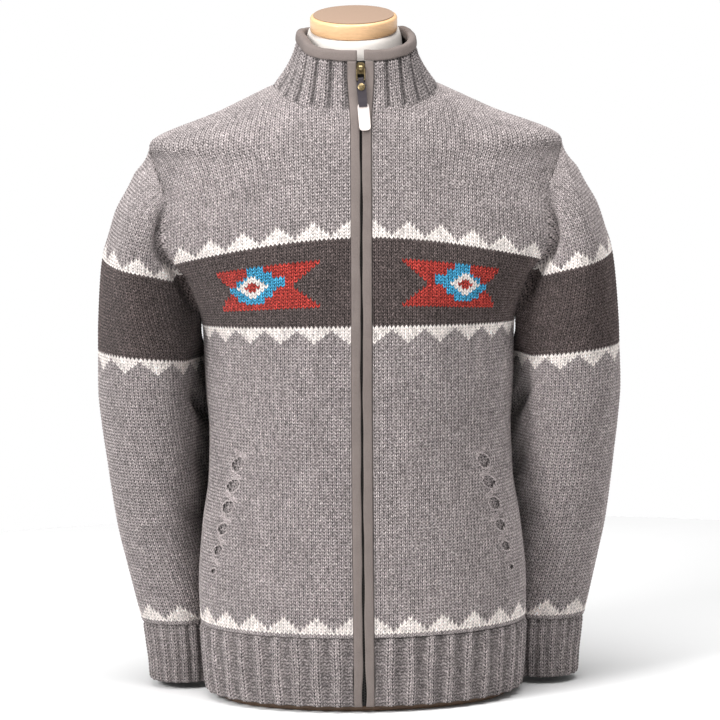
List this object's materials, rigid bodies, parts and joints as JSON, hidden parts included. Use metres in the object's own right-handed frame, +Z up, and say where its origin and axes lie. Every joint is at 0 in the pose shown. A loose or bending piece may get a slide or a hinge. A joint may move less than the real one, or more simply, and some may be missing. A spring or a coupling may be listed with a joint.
{
  "type": "southwestern zip sweater on a tabletop dress form",
  "caption": "Chunky knitted cardigan with a full zip, a ribbed stand collar and southwestern bands across chest and sleeves, worn by a limbless dress form that stands on a thin board.",
  "frame": {"origin": "middle of the underside of the form's base board", "axes": "+Z up, the sweater's front and zip face -Y, and the wearer's left is +X"},
  "size_m": [0.6, 0.2765, 0.7939],
  "materials": {
    "knit": "heathered chunky wool-blend knit, matte",
    "rib": "heathered chunky rib knit, matte",
    "jersey": "smooth taupe jersey, matte",
    "zip_tape": "woven zip tape, matte",
    "brass": "aged, satin",
    "dark_leather": "smooth, matte",
    "pale_leather": "smooth, matte",
    "form": "off-white cloth cover, matte",
    "maple": "honey maple, satin",
    "cap": "beige covered disc, matte",
    "board": "dark brown board, matte"
  },
  "bodies": {
    "garment": {"front_left": "knit", "front_right": "knit", "back": "knit", "sleeve_left_shoulder": "knit", "sleeve_left_elbow": "knit", "sleeve_left_wrist": "knit", "sleeve_right_shoulder": "knit", "sleeve_right_elbow": "knit", "sleeve_right_wrist": "knit", "hem_rib_left": "rib", "hem_rib_right": "rib", "hem_rib_back": "rib", "cuff_left": "rib", "cuff_right": "rib", "collar": "rib", "collar_binding": "jersey", "zip_band_left": "jersey", "zip_band_right": "jersey", "zip_chain": "zip_tape", "zip_slider": "brass", "pocket_lining_left": "knit", "pocket_lining_right": "knit", "form_torso": "form", "form_neck_block": "maple", "form_cap_top": "cap", "form_base": "board"},
    "pull": {"pull_link": "brass", "pull_strap": "dark_leather", "pull_rivet": "brass", "pull_tab": "pale_leather"}
  },
  "joints": [
    {"name": "pull_swing", "type": "hinge", "parent": "garment", "child": "pull", "pos_m": [0.00702, -0.09347, 0.726], "axis": [-1, 0, 0], "range_deg": [0, 150]}
  ]
}
